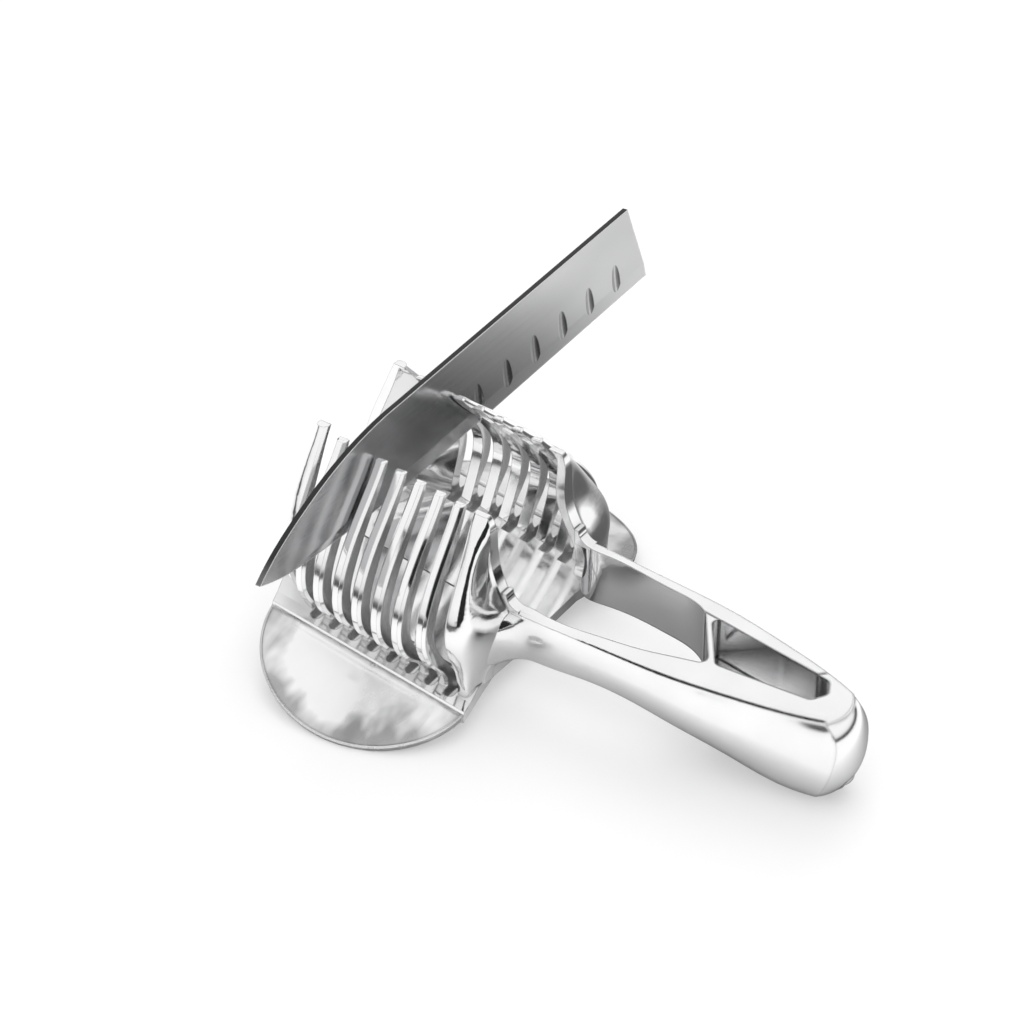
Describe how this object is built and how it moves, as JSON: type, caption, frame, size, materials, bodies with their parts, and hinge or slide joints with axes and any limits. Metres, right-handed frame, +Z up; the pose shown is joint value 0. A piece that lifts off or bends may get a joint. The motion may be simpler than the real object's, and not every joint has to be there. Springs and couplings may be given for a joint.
{
  "type": "tomato slicer",
  "caption": "Cast holder with two leaning comb jaws on oval foot plates, arms that meet in a hinged rounded tail, and a knife standing in the combs.",
  "frame": {"origin": "middle of the flat that the tail rests on, on the table", "axes": "+X from the tail to the comb head, +Y to the fixed jaw, +Z up"},
  "size_m": [0.1999, 0.2029, 0.0855],
  "materials": {
    "polished_casting": "mirror-polished cast metal",
    "polished_plate": "polished sheet, softly brushed",
    "rivet_steel": "satin",
    "pin_steel": "ground",
    "spring_steel": "drawn wire",
    "blade_steel": "brushed"
  },
  "bodies": {
    "fixed_jaw": {"fixed_jaw": "polished_casting", "fixed_foot_plate": "polished_plate", "fixed_foot_rivets": "rivet_steel", "hinge_pin": "pin_steel", "thrust_washer": "pin_steel", "jaw_spring": "spring_steel"},
    "swing_jaw": {"swing_jaw": "polished_casting", "swing_foot_plate": "polished_plate", "swing_foot_rivets": "rivet_steel"},
    "blade": {"slicing_blade": "blade_steel"}
  },
  "joints": [
    {"name": "blade_lift", "type": "slide", "parent": "fixed_jaw", "child": "blade", "axis": [0.0993, 0, 0.9951], "range_m": [0, 0.094]},
    {"name": "jaw_hinge", "type": "hinge", "parent": "fixed_jaw", "child": "swing_jaw", "pos_m": [-0.008, 0, 0.015], "axis": [0, 0, -1], "range_deg": [0, 7.05], "stiffness_Nm_per_rad": 0.5}
  ],
  "couplings": [
    {"joint": "jaw_hinge", "follows": "blade_lift", "rad_per_m": 1.3}
  ]
}
